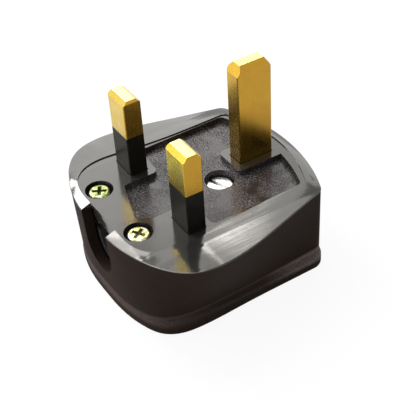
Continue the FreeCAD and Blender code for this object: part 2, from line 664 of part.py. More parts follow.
def make_terminal_screw(x, y):
    """Slotted screw, with its head on the inside of the plug, not tightened down."""
    seat = BLOCK_BOTTOM - TERMINAL_SCREW_LIFT
    head = slotted_head(x, y, TERMINAL_HEAD_R, seat - TERMINAL_HEAD_HEIGHT, seat,
                        TERMINAL_SLOT_DEPTH, False, TERMINAL_SLOT_TURN)
    top = BASE_UNDERSIDE - WIRE_HOLE_DROP - WIRE_HOLE_R
    return join(head, rod(x, y, seat, top, TERMINAL_SCREW_R))


def make_cover_screw():
    """Slotted screw that goes down through the base into the cover's insert."""
    head = slotted_head(COVER_SCREW_X, COVER_SCREW_Y, COVER_HEAD_R, COVER_SEAT, COVER_HEAD_TOP,
                        SCREW_SLOT_DEPTH, True, SCREW_SLOT_TURN)
    return join(head, rod(COVER_SCREW_X, COVER_SCREW_Y, COVER_SEAT - COVER_SHANK_LENGTH, COVER_SEAT,
                          COVER_SHANK_R))


def make_retainer():
    """Washer in the foot of the base's post, which keeps the cover screw captive."""
    z0 = COVER_POST_END
    ring = rod(COVER_SCREW_X, COVER_SCREW_Y, z0, z0 + RETAINER_THICK, RETAINER_R)
    return ring.cut(rod(COVER_SCREW_X, COVER_SCREW_Y, z0 - PAST, z0 + RETAINER_THICK + PAST,
                        COVER_SHANK_R + THREAD_FIT))


def make_insert():
    """Brass bush with two collars, pressed into the boss."""
    z1 = BOSS_TOP
    z0 = z1 - INSERT_LENGTH
    x, y = COVER_SCREW_X, COVER_SCREW_Y
    bush = rod(x, y, z0, z1, INSERT_R)
    groove = rod(x, y, z0 + INSERT_COLLAR, z1 - INSERT_COLLAR, INSERT_R + PAST)
    groove = groove.cut(rod(x, y, z0, z1, INSERT_R - INSERT_GROOVE))
    return bush.cut([groove, rod(x, y, z0 - PAST, z1 + PAST, COVER_SHANK_R + THREAD_FIT)])


def make_grip_screw(side):
    """Cross-recessed pan head screw of the cord grip."""
    x, y = side * GRIP_SCREW_X, GRIP_SCREW_Y
    head = rod(x, y, GRIP_SEAT, GRIP_HEAD_TOP, GRIP_HEAD_R)
    rounded = [e for e in head.Edges if e.BoundBox.ZMin > GRIP_HEAD_TOP - 1e-4]
    head = head.makeFillet(GRIP_HEAD_EDGE_R, rounded)
    a, b = CROSS_HALF_LENGTH, CROSS_WIDTH / 2
    foot = GRIP_HEAD_TOP - CROSS_DEPTH
    arms = [box(x - a, x + a, y - b, y + b, foot, GRIP_HEAD_TOP + PAST),
            box(x - b, x + b, y - a, y + a, foot, GRIP_HEAD_TOP + PAST)]
    for arm in arms:
        arm.rotate(Vector(x, y, 0), Vector(0, 0, 1), CROSS_TURN * side)
    return join(head.cut(arms), rod(x, y, GRIP_SEAT - GRIP_SHANK_LENGTH, GRIP_SEAT, GRIP_SHANK_R))


def make_grip_bar():
    """Saddle across the cord channel, with two low teeth in its hollow."""
    top = GRIP_POST_END - GRIP_BAR_SEAT_GAP
    y0, y1 = GRIP_SCREW_Y - GRIP_BAR_WIDTH / 2, GRIP_SCREW_Y + GRIP_BAR_WIDTH / 2
    ears = box(-GRIP_BAR_HALF_LENGTH, GRIP_BAR_HALF_LENGTH, y0, y1, top - GRIP_BAR_THICK, top)
    ears = ears.makeFillet(GRIP_BAR_EAR_R, upright_edges(ears))
    belly_r = CORD_CHANNEL_R + GRIP_SADDLE_WALL
    belly_z = SLOT_CENTRE_Z - belly_r
    belly = rod_along_y(0, SLOT_CENTRE_Z, y0, y1, belly_r)
    belly = belly.common(box(-belly_r, belly_r, y0, y1, belly_z, top))
    bar = join(ears, belly)
    channel = rod_along_y(0, SLOT_CENTRE_Z, y0 - PAST, y1 + PAST, CORD_CHANNEL_R)
    way_in = box(-CORD_CHANNEL_R, CORD_CHANNEL_R, y0 - PAST, y1 + PAST, SLOT_CENTRE_Z, top + PAST)
    bar = bar.cut([channel, way_in])
    t = GRIP_TOOTH_HALF_THICK
    w = GRIP_TOOTH_HALF_WIDTH
    teeth = []
    for y in (GRIP_SCREW_Y - GRIP_TOOTH_OFFSET, GRIP_SCREW_Y + GRIP_TOOTH_OFFSET):
        ring = rod_along_y(0, SLOT_CENTRE_Z, y - t, y + t, CORD_CHANNEL_R + GRIP_TOOTH_ROOT)
        ring = ring.cut(rod_along_y(0, SLOT_CENTRE_Z, y - PAST, y + PAST, CORD_CHANNEL_R - GRIP_TOOTH))
        teeth.append(ring.common(box(-w, w, y - t, y + t, belly_z, SLOT_CENTRE_Z)))
    bar = join(bar, *teeth)
    bar = bar.common(inside_space(GRIP_BAR_GAP, INNER_FLOOR_Z, 0))
    return bar.cut([rod(side * GRIP_SCREW_X, GRIP_SCREW_Y, belly_z - PAST, 0, GRIP_SHANK_R + THREAD_FIT)
                    for side in (-1, 1)])


def make_fuse_body():
    """Ceramic barrel of the cartridge fuse, necked where the caps go on."""
    inset = FUSE_CAP_WALL + FUSE_CAP_FIT
    neck_r = min(FUSE_CAP_R - inset, FUSE_BARREL_R)
    barrel = rod_along_y(FUSE_X, FUSE_Z, FUSE_START_Y + FUSE_CAP_LENGTH, FUSE_END_Y - FUSE_CAP_LENGTH,
                         FUSE_BARREL_R)
    return join(barrel, rod_along_y(FUSE_X, FUSE_Z, FUSE_START_Y + inset, FUSE_END_Y - inset, neck_r))


def make_fuse_cap(y_end, inward):
    """Metal cap: a short cup with a rounded rim, open towards the middle of the fuse."""
    y0, y1 = sorted((y_end, y_end + inward * FUSE_CAP_LENGTH))
    cap = rod_along_y(FUSE_X, FUSE_Z, y0, y1, FUSE_CAP_R)
    cap = cap.makeFillet(FUSE_CAP_EDGE_R, [e for e in cap.Edges if abs(e.BoundBox.YMax - y_end) < 1e-4
                                           and abs(e.BoundBox.YMin - y_end) < 1e-4])
    a, b = sorted((y_end + inward * FUSE_CAP_WALL, y_end + inward * (FUSE_CAP_LENGTH + PAST)))
    return cap.cut(rod_along_y(FUSE_X, FUSE_Z, a, b, FUSE_CAP_R - FUSE_CAP_WALL))


def make_clip(y):
    """Spring clip: a flat seat and two arms that wrap the cap and flare at the mouth."""
    y0, y1 = y - CLIP_LENGTH / 2, y + CLIP_LENGTH / 2
    ring = rod_along_y(FUSE_X, FUSE_Z, y0, y1, CLIP_OUTER_R)
    seat = box(FUSE_X - CLIP_SEAT_HALF_WIDTH, FUSE_X + CLIP_SEAT_HALF_WIDTH, y0, y1,
               FUSE_Z + CLIP_INNER_R, PLATE_BOTTOM)
    hollow = rod_along_y(FUSE_X, FUSE_Z, y0 - PAST, y1 + PAST, CLIP_INNER_R)
    half = math.radians(CLIP_MOUTH_DEG / 2)
    across, down = CLIP_OUTER_R * math.sin(half), CLIP_OUTER_R * math.cos(half)
    middle = Vector(FUSE_X, y0 - PAST, FUSE_Z)
    mouth = Part.makePolygon([middle, middle + Vector(-2 * across, 0, -2 * down),
                              middle + Vector(2 * across, 0, -2 * down), middle])
    wedge = Part.Face(mouth).extrude(Vector(0, CLIP_LENGTH + 2 * PAST, 0))
    clip = join(ring, seat).cut([hollow, wedge])
    lips = []
    for side in (-1, 1):
        lip = box(-CLIP_THICK, 0, y0, y1, -CLIP_LIP, CLIP_LIP_ROOT)
        lip.rotate(Vector(0, 0, 0), Vector(0, 1, 0), -CLIP_MOUTH_DEG / 2)
        if side < 0:
            lip = lip.mirror(Vector(0, 0, 0), Vector(1, 0, 0))
        lip.translate(Vector(FUSE_X + side * across, 0, FUSE_Z - down))
        lips.append(lip)
    return join(clip, *lips)


def save(name, shape):
    """Write one piece, moved to the part's own origin."""
    piece = shape.copy()
    piece.translate(ORIGIN_SHIFT)
    piece.exportStep("parts/" + name + ".step")


def main():
    os.makedirs("parts", exist_ok=True)
    save("base", make_base())
    save("cover", make_cover())
    save("earth_pin", make_earth_pin())
    save("neutral_pin", make_neutral_pin())
    save("line_pin", make_line_pin())
    save("neutral_sleeve", make_sleeve(NEUTRAL_X))
    save("line_sleeve", make_sleeve(LINE_X))
    save("cover_screw", make_cover_screw())
    save("screw_retainer", make_retainer())
    save("cover_insert", make_insert())
    save("cord_grip_bar", make_grip_bar())
    save("cord_grip_screw_line", make_grip_screw(-1))
    save("cord_grip_screw_neutral", make_grip_screw(1))
    save("line_terminal", make_line_terminal())
    save("line_terminal_screw", make_terminal_screw(LINE_BLOCK_X, LINE_BLOCK_Y))
    save("neutral_terminal_screw", make_terminal_screw(NEUTRAL_X, NEUTRAL_BLOCK_SHIFT))
    save("earth_terminal_screw", make_terminal_screw(0, EARTH_PIN_Y))
    save("fuse_body", make_fuse_body())
    save("fuse_cap_pin_end", make_fuse_cap(FUSE_START_Y, 1))
    save("fuse_cap_terminal_end", make_fuse_cap(FUSE_END_Y, -1))
    save("fuse_clip_pin_end", make_clip(CLIP_YS[0]))
    save("fuse_clip_terminal_end", make_clip(CLIP_YS[1]))


main()
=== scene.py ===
import math
from functools import reduce

import bpy
import numpy as np
from mathutils import Matrix, Vector


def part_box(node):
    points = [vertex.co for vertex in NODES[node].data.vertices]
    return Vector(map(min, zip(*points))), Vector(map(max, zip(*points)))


bl_info = {
    "name": "Three Pin Plug Dresser",
    "version": (1, 0, 0),
    "blender": (4, 5, 0),
    "location": "View3D > Sidebar > Plug",
    "description": "Finishes the solids of a rewireable three pin plug and sets its studio",
    "category": "Object",
}

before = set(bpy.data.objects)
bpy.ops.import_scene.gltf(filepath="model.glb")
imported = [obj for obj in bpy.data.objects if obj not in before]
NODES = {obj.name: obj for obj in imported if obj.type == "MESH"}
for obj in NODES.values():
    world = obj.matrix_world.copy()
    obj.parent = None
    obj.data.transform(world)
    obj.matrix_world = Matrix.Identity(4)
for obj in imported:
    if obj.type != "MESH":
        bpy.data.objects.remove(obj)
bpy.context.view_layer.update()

# Patterns are laid out in millimetres, and depths of bump are counted in microns
MM = 1000.0
MICRON = 1e-6

# Heights in the row frame, in metres, read from the solids
SLEEVE_LENGTH = 0.0091
SLEEVE_TOP_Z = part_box("neutral_sleeve")[1].z
PANEL_Z = SLEEVE_TOP_Z - SLEEVE_LENGTH
PIN_TOP_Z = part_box("neutral_pin")[1].z
EARTH_TOP_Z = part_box("earth_pin")[1].z

# Where the finishes change, in millimetres in the row frame. A pair is where a share
# starts and where it is full.
PANEL_MM = PANEL_Z * MM
RECESS_HALF_WIDTH = 15.0
RECESS_ENDS = (-16.5, 19.6)
RECESS_FADE = 0.2
RECESS_DEPTHS = (PANEL_MM - 0.02, PANEL_MM - 0.12)
FLANK_ROLL = (15.0, 18.0)
FLANK_LINES = (15.0, 16.5)
CORNER_ALONG = (-8.5, -14.5)
CORNER_ACROSS = (11.5, 18.0)
# The grip flange's height, and the band round it and the stretch along the plug where its painted
# highlight fades in
GRIP_FLANGE_HEIGHT = 3.3
GRIP_FLANGE_BAND = (1.5, 0.6)
GRIP_FLANGE_ALONG = (4.0, 12.0)

# How far the rim's crest stands above the panel and its corners fall below it, in
# millimetres, and how much of the earth pin's height counts as its root
RIM_CREST = 0.25
RIM_DROP = 0.8
EARTH_ROOT_SHARE = 0.6

# The same kind of pairs for one part of the direction that a surface faces: upward on
# the rim and on the pins' tips, and towards +X on the sides painted a deeper gold as shade
RIM_LEANS = (0.9998, 0.999)
TIPS_FACE_UP = (0.8, 0.97)
SHADED_FACES_X = (0.2, 0.6)

# Tints of the gloss
PANEL_SHEEN = (1.0, 0.965, 0.90)
RECESS_SHEEN = (0.62, 0.58, 0.58)
COVER_SHEEN = (1.0, 0.82, 0.72, 1.0)

# Specks in the fuse's ceramic, teeth round the insert, and the rings turned on a screw
SPECKS = (0.45, 0.43, 0.40)
KNURL_TEETH = 22
RINGS_PER_MM = 7.0

# How strongly each pin's brass is made darker towards its root
ROOT_DULLING = {"line": 0.15, "neutral": 0.25, "earth": 0.85}

# Platings as stops of a ramp, from the dull places to the bright ones
ZINC = [(0.0, (0.07, 0.11, 0.03)), (0.4, (0.20, 0.25, 0.09)),
        (0.6, (0.40, 0.37, 0.18)), (1.0, (0.66, 0.68, 0.56))]
NICKEL = [(0.0, (0.66, 0.64, 0.60)), (0.5, (0.82, 0.81, 0.79)), (1.0, (0.90, 0.90, 0.89))]
NICKEL_SCREWS = ("cover_screw", "line_terminal_screw", "neutral_terminal_screw",
                 "earth_terminal_screw")
# How much paler each zinc plated screw is made; below zero it is made darker
ZINC_PALING = {"cord_grip_screw_line": -0.06, "cord_grip_screw_neutral": 0.06}

# Rolled strips: the two tones of each metal and its roughness
TERMINAL_BRASS = ((0.66, 0.47, 0.14), (0.80, 0.60, 0.24), 0.24)
CLIP_BRONZE = ((0.70, 0.46, 0.20), (0.82, 0.60, 0.30), 0.26)
CAP_NICKEL = ((0.70, 0.69, 0.66), (0.84, 0.83, 0.81), 0.2)

# Softboxes: the window of directions that each fills, in degrees from +Y towards -X and
# in degrees up from the table, and the studio's setting that holds its brightness
SOFTBOXES = (
    ("softbox_back", (56, 88), (30, 43), "back_glow"),
    ("softbox_low", (56, 88), (14, 30), "low_glow"),
    ("softbox_far", (24, 54), (10, 44), "far_glow"),
    ("strip_lamp", (41, 55), (48, 53), "strip_glow"),
    ("strip_core", (46, 57), (48.2, 50.0), "core_glow"),
    ("softbox_upper", (26, 68), (45, 64), "upper_glow"),
    ("softbox_high", (70, 140), (54, 71), "high_glow"),
    ("softbox_cable_end", (103, 140), (44, 54), "cable_end_glow"),
    ("softbox_side", (92, 112), (27, 45), "side_glow"),
    ("softbox_cable_low", (142, 185), (8, 34), "cable_low_glow"),
    ("softbox_top", (200, 260), (66, 84), "top_glow"),
)
LAMP_DISTANCE = 0.8
SENSOR_WIDTH = 36.0

# Floor: half of its side in metres, points along a side, and how white the camera sees it
FLOOR_REACH = 1.5
FLOOR_POINTS = 9
FLOOR_WHITE = 0.92


class Graph:
    """A node tree of a material or the world, with short calls for the nodes in use."""

    def __init__(self, name, world=False):
        block = bpy.data.worlds.new(name) if world else bpy.data.materials.new(name)
        block.use_nodes = True
        self.block = block
        self.tree = block.node_tree
        self.tree.nodes.clear()

    def add(self, kind, inputs=(), **settings):
        """Node with its settings, and with inputs that are each a link or a value."""
        node = self.tree.nodes.new(kind)
        for key, value in settings.items():
            setattr(node, key, value)
        for key, value in dict(inputs).items():
            if isinstance(value, bpy.types.NodeSocket):
                self.tree.links.new(value, node.inputs[key])
            else:
                node.inputs[key].default_value = value
        return node

    def place(self, stretch=(1.0, 1.0, 1.0), centre=(0.0, 0.0)):
        """Object coordinates in millimetres from an upright axis through the centre. A
        pattern on them runs long on an axis that has a small stretch."""
        where = self.add("ShaderNodeTexCoord").outputs["Object"]
        return self.add("ShaderNodeMapping", {
            "Vector": where, "Scale": [MM * share for share in stretch],
            "Location": (-centre[0] * MM, -centre[1] * MM, 0.0)}).outputs[0]

    def parts(self, vector):
        """X, Y and Z of a vector, by name."""
        return self.add("ShaderNodeSeparateXYZ", {0: vector}).outputs

    def facing(self):
        """Parts of the direction that the surface faces, in the row frame."""
        return self.parts(self.add("ShaderNodeTexCoord").outputs["Normal"])

    def noise(self, where, scale, detail=2.0, roughness=0.5, distortion=0.0):
        return self.add("ShaderNodeTexNoise", {
            "Vector": where, "Scale": scale, "Detail": detail,
            "Roughness": roughness, "Distortion": distortion}).outputs["Fac"]

    def spread(self, value, low, high, to_low=0.0, to_high=1.0, ease="LINEAR"):
        """Value moved from one range to another, and held inside it."""
        return self.add("ShaderNodeMapRange", {
            "Value": value, "From Min": low, "From Max": high,
            "To Min": to_low, "To Max": to_high}, interpolation_type=ease).outputs["Result"]

    def tone(self, noise, to_low=0.0, to_high=1.0):
        """Noise moved from the range where most of it lies to another."""
        return self.spread(noise, 0.3, 0.7, to_low, to_high)

    def math(self, operation, a, b=0.0):
        return self.add("ShaderNodeMath", {0: a, 1: b}, operation=operation).outputs[0]

    def product(self, *factors):
        return reduce(lambda a, b: self.math("MULTIPLY", a, b), factors)

    def total(self, *terms):
        return reduce(lambda a, b: self.math("ADD", a, b), terms)

    def colours(self, share, first, second):
        """Two colours mixed by a share, each three numbers or a socket. The Mix node's
        colours are its inputs 6 and 7 and its output 2."""
        pair = [c if isinstance(c, bpy.types.NodeSocket) else (*c, 1) for c in (first, second)]
        inputs = {0: share, 6: pair[0], 7: pair[1]}
        return self.add("ShaderNodeMix", inputs, data_type="RGBA").outputs[2]

    def ramp(self, share, stops):
        """Colour from a ramp with stops of a position and a colour."""
        node = self.add("ShaderNodeValToRGB", {"Fac": share})
        marks = node.color_ramp.elements
        while len(marks) < len(stops):
            marks.new(0.5)
        for mark, (position, colour) in zip(marks, stops):
            mark.position = position
            mark.color = (*colour, 1)
        return node.outputs["Color"]

    def bump(self, height, distance, strength=1.0, normal=None):
        """Normal of a relief whose height of 1 stands a distance in metres proud."""
        inputs = {"Height": height, "Distance": distance, "Strength": strength}
        if normal is not None:
            inputs["Normal"] = normal
        return self.add("ShaderNodeBump", inputs).outputs["Normal"]

    def seen(self):
        """1 for what the camera sees straight on, in gloss or through glass, and 0 for
        the light that falls on surfaces."""
        path = self.add("ShaderNodeLightPath").outputs
        gloss = self.math("MAXIMUM", path["Is Camera Ray"], path["Is Glossy Ray"])
        return self.math("MAXIMUM", gloss, path["Is Transmission Ray"])

    def surface(self, **inputs):
        """Ends the material in a Principled shader, with its sockets' names as keywords."""
        sockets = {name.replace("_", " "): value for name, value in inputs.items()}
        shader = self.add("ShaderNodeBsdfPrincipled", sockets)
        self.add("ShaderNodeOutputMaterial", {"Surface": shader.outputs[0]})
        return self.block

    def metal(self, colour, roughness, normal):
        """Ends the material as bare metal."""
        return self.surface(Base_Color=colour, Roughness=roughness, Metallic=1.0, Normal=normal)


def recess_share(g, part, side):
    """1 below the panel, inside the block that holds the marking recess, and 0 elsewhere."""
    start, end = RECESS_ENDS
    return g.product(g.spread(side, RECESS_HALF_WIDTH, RECESS_HALF_WIDTH - RECESS_FADE),
                     g.spread(part["Y"], start, start + RECESS_FADE),
                     g.spread(part["Y"], end, end - RECESS_FADE),
                     g.spread(part["Z"], *RECESS_DEPTHS))


def rim_relief(g, mm, part, side, settings):
    """Normal of the polish: faint ripples, a soft roll-off where the rim's flanks start,
    level corners at its cable end and drawn lines along the flanks. A corner is levelled
    by a relief as high as the rim has fallen there, on the rim alone, which leans."""
    ripples = g.bump(g.noise(mm, scale=0.16, detail=1.0), 120 * MICRON, strength=0.35)
    roll = g.bump(g.spread(side, *FLANK_ROLL, 1.0, 0.0), settings.rim_roll, normal=ripples)
    fall = g.spread(part["Z"], PANEL_MM - RIM_DROP, PANEL_MM + RIM_CREST, RIM_DROP + RIM_CREST, 0.0)
    corner = g.product(fall, g.spread(part["Y"], *CORNER_ALONG, ease="SMOOTHSTEP"),
                       g.spread(side, *CORNER_ACROSS, ease="SMOOTHSTEP"),
                       g.spread(g.facing()["Z"], *RIM_LEANS))
    level = g.bump(corner, settings.corner_level / MM, normal=roll)
    lines = g.noise(g.place((0.9, 0.06, 0.9)), scale=1.0)
    return g.bump(g.product(lines, g.spread(side, *FLANK_LINES)), 22 * MICRON, normal=level)


def base_finish(settings):
    """Glossy moulded black: smears in the gloss, the rim's relief, and in the marking
    recess a floor with patches of spark texture, duller, with painted glints on the texture's
    peaks."""
    g = Graph("base_gloss")
    mm = g.place()
    part = g.parts(mm)
    side = g.math("ABSOLUTE", part["X"])
    recess = recess_share(g, part, side)

    smear = g.noise(mm, scale=0.22, detail=3.0, roughness=0.6, distortion=0.8)
    fine = g.noise(mm, scale=2.4, detail=4.0, roughness=0.6)
    rough = g.total(g.product(g.spread(smear, 0.35, 0.75), 0.06),
                    g.product(g.spread(fine, 0.55, 0.8), 0.05),
                    g.product(recess, 0.04), settings.base_roughness)

    patch = g.spread(g.noise(mm, scale=0.2, detail=1.0), 0.36, 0.6)
    grain = g.spread(g.noise(mm, settings.recess_grain, roughness=0.6), 0.46, 0.6)
    polished = g.colours(g.tone(smear), settings.base_colour, settings.base_bloom)
    # Painted glints: the peaks of the recess's texture are painted paler
    marked = g.colours(g.product(patch, grain), settings.recess_colour, settings.recess_glint)
    texture = g.product(recess, grain, g.spread(patch, 0.0, 1.0, 0.06, 1.0))
    normal = g.bump(texture, settings.recess_relief, normal=rim_relief(g, mm, part, side, settings))
    return g.surface(Base_Color=g.colours(recess, polished, marked), Roughness=rough, IOR=1.58,
                     Specular_Tint=g.colours(recess, PANEL_SHEEN, RECESS_SHEEN), Normal=normal)


def cover_finish(settings):
    """Matt moulded shell: close pits of a spark-textured mould, faint cloudy tone, and a painted
    highlight on the grip flange's band, broken by the pits and stronger towards the earth end."""
    g = Graph("cover_matt")
    mm = g.place()
    part = g.parts(mm)
    grain = 1.0 / (settings.cover_grain * MM)
    cloud = g.noise(mm, scale=0.12, detail=3.0, roughness=0.6, distortion=0.5)
    pits = g.noise(mm, scale=grain, detail=3.0, roughness=0.65)
    cells = g.add("ShaderNodeTexVoronoi", {"Vector": mm, "Scale": 0.8 * grain}).outputs["Distance"]
    away = g.math("ABSOLUTE", g.math("SUBTRACT", part["Z"], GRIP_FLANGE_HEIGHT))
    # Painted highlight: the band at the grip flange's height is painted paler, as where its upper
    # bevel catches the light
    flange_highlight = g.product(g.spread(away, *GRIP_FLANGE_BAND), g.spread(pits, 0.3, 0.6, 0.35, 1.0),
                    g.spread(part["Y"], *GRIP_FLANGE_ALONG, 0.25, 1.0))
    colour = g.colours(g.tone(cloud), settings.cover_colour, settings.cover_pale)
    colour = g.colours(flange_highlight, colour, settings.cover_flange_highlight)
    rough = g.tone(cloud, settings.cover_roughness, settings.cover_roughness + 0.08)
    normal = g.bump(g.total(pits, g.product(cells, 0.4)), settings.cover_relief, strength=0.7)
    return g.surface(Base_Color=colour, Roughness=rough, IOR=1.5, Specular_IOR_Level=0.03,
                     Specular_Tint=COVER_SHEEN, Normal=normal)


def brushed_brass(name, settings, face, dulling, dull_low, dull_high):
    """Machined pin brass: fine drawn lines along the pin, a paler, brighter tip, a painted
    shade of deeper gold on the side that faces +X, and a warmer, duller root up to dull_high."""
    g = Graph(name)
    mm = g.place()
    facing = g.facing()
    lines = g.noise(g.place((4.0, 4.0, 0.1)), scale=1.0)
    cloud = g.noise(mm, scale=0.35, distortion=0.6)
    # Painted shade: the sides that face +X are painted a deeper, darker gold
    colour = g.colours(g.spread(facing["X"], *SHADED_FACES_X), face, settings.brass_shaded_side)
    colour = g.colours(g.spread(facing["Z"], *TIPS_FACE_UP), colour, settings.brass_tip)
    dull = g.total(g.product(g.tone(lines), 0.12), g.product(g.spread(cloud, 0.35, 0.7), 0.2))
    colour = g.colours(dull, colour, settings.brass_dull)
    root = g.spread(g.parts(mm)["Z"], dull_high * MM, dull_low * MM)
    colour = g.colours(g.product(root, dulling), colour, settings.brass_root)
    rough = g.total(g.product(g.spread(lines, 0.25, 0.75), 0.06),
                    g.product(g.spread(cloud, 0.3, 0.8), 0.06), settings.brass_roughness)
    return g.metal(colour, rough, g.bump(lines, 4 * MICRON, strength=0.4))


def sleeve_finish(settings):
    """Satin black sleeve, with slight draw lines along the pin and a soft bloom."""
    g = Graph("sleeve_satin")
    lines = g.noise(g.place((3.0, 3.0, 0.3)), scale=1.0, roughness=0.6)
    bloom = g.noise(g.place(), scale=0.5, detail=3.0, roughness=0.6)
    colour = g.colours(g.spread(bloom, 0.35, 0.7), settings.sleeve_colour, settings.sleeve_bloom)
    return g.surface(Base_Color=colour, Roughness=g.tone(bloom, 0.34, 0.46), IOR=1.5,
                     Specular_IOR_Level=0.09, Normal=g.bump(lines, 12 * MICRON, strength=0.5))


def turned_metal(name, centre, plating, roughness, mottle, wear=0.0):
    """Metal turned about an upright axis: rings from the tool that follow the distance
    from the axis, under a dented, mottled plating that paling shifts paler."""
    g = Graph(name)
    mm = g.place(centre=centre)
    part = g.parts(mm)
    flat = g.add("ShaderNodeCombineXYZ", {"X": part["X"], "Y": part["Y"]}).outputs[0]
    radius = g.add("ShaderNodeVectorMath", {0: flat}, operation="LENGTH").outputs["Value"]
    ringed = g.add("ShaderNodeCombineXYZ", {"X": g.product(radius, RINGS_PER_MM),
                                            "Y": g.product(part["Z"], RINGS_PER_MM)}).outputs[0]
    rings = g.noise(ringed, scale=1.0, detail=3.0, roughness=0.6)
    cloud = g.noise(mm, scale=0.9, detail=3.0, roughness=0.65, distortion=1.0)
    dents = g.noise(mm, scale=2.5, roughness=0.6)
    colour = g.ramp(g.spread(cloud, 0.3 - wear, 0.7 - wear), plating)
    rough = g.total(g.product(g.tone(rings), 0.14), roughness)
    dented = g.bump(dents, 40 * MICRON, strength=mottle)
    return g.metal(colour, rough, g.bump(rings, 8 * MICRON, strength=0.5, normal=dented))


def knurled_brass(name, centre, settings):
    """Pressed-in bush: a straight knurl, a sine of the angle about the axis, on brass."""
    g = Graph(name)
    mm = g.place(centre=centre)
    part = g.parts(mm)
    angle = g.math("ARCTAN2", part["Y"], part["X"])
    knurl = g.product(g.math("SINE", g.product(angle, float(KNURL_TEETH))), 0.5)
    grain = g.noise(mm, scale=3.0, detail=3.0, roughness=0.6)
    colour = g.colours(g.tone(grain), settings.brass_earth, settings.brass_line)
    grained = g.bump(grain, 10 * MICRON, strength=0.4)
    return g.metal(colour, g.tone(grain, 0.26, 0.38),
                   g.bump(knurl, 150 * MICRON, strength=0.6, normal=grained))


def strip_metal(name, first, second, roughness):
    """Rolled strip: streaks along the rolling direction, and clouds of two tones."""
    g = Graph(name)
    streaks = g.noise(g.place((4.0, 0.15, 4.0)), scale=1.0, detail=3.0, roughness=0.6)
    cloud = g.noise(g.place(), scale=0.4, detail=3.0, roughness=0.6, distortion=0.5)
    colour = g.colours(g.tone(cloud), first, second)
    rough = g.tone(streaks, roughness, roughness + 0.14)
    return g.metal(colour, rough, g.bump(streaks, 8 * MICRON, strength=0.5))


def nylon_finish(settings):
    """Black nylon: satin, with a soft mould texture and a faint grey bloom."""
    g = Graph("inner_nylon")
    mm = g.place()
    cloud = g.noise(mm, scale=0.3, detail=3.0, roughness=0.6)
    grain = g.noise(mm, scale=4.0, roughness=0.6)
    colour = g.colours(g.tone(cloud), settings.nylon_colour, settings.nylon_shade)
    return g.surface(Base_Color=colour, Roughness=g.tone(grain, 0.42, 0.55), IOR=1.53,
                     Normal=g.bump(grain, 20 * MICRON, strength=0.4))


def ceramic_finish(settings):
    """Unglazed fuse barrel: chalky white with fine grey specks."""
    g = Graph("fuse_ceramic")
    mm = g.place()
    specks = g.noise(mm, scale=3.2, detail=4.0, roughness=0.7)
    cloud = g.noise(mm, scale=0.5)
    colour = g.colours(g.tone(cloud), settings.ceramic_colour, settings.ceramic_shade)
    colour = g.colours(g.spread(specks, 0.66, 0.72), colour, SPECKS)
    return g.surface(Base_Color=colour, Roughness=0.7, IOR=1.5,
                     Normal=g.bump(specks, 20 * MICRON, strength=0.4))


def dress(node, material):
    """Gives a node its finish."""
    piece = NODES[node]
    piece.data.materials.clear()
    piece.data.materials.append(material)


def centre_of(node):
    """Middle of a node's box."""
    low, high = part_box(node)
    return (low + high) / 2


def colour_setting(name, description, default):
    return bpy.props.FloatVectorProperty(name=name, description=description, default=default,
                                         subtype="COLOR", size=3, min=0.0, max=1.0)


def share_setting(name, description, default):
    return bpy.props.FloatProperty(name=name, description=description, default=default,
                                   min=0.0, max=1.0, subtype="FACTOR")


def depth_setting(name, description, default):
    return bpy.props.FloatProperty(name=name, description=description, default=default,
                                   min=0.0, max=0.0005, precision=6,
                                   subtype="DISTANCE", unit="LENGTH")


def angle_setting(name, description, degrees):
    return bpy.props.FloatProperty(name=name, description=description,
                                   default=math.radians(degrees), subtype="ANGLE", unit="ROTATION")


def glow_setting(name, description, default):
    return bpy.props.FloatProperty(name=name, description=description, default=default, min=0.0)


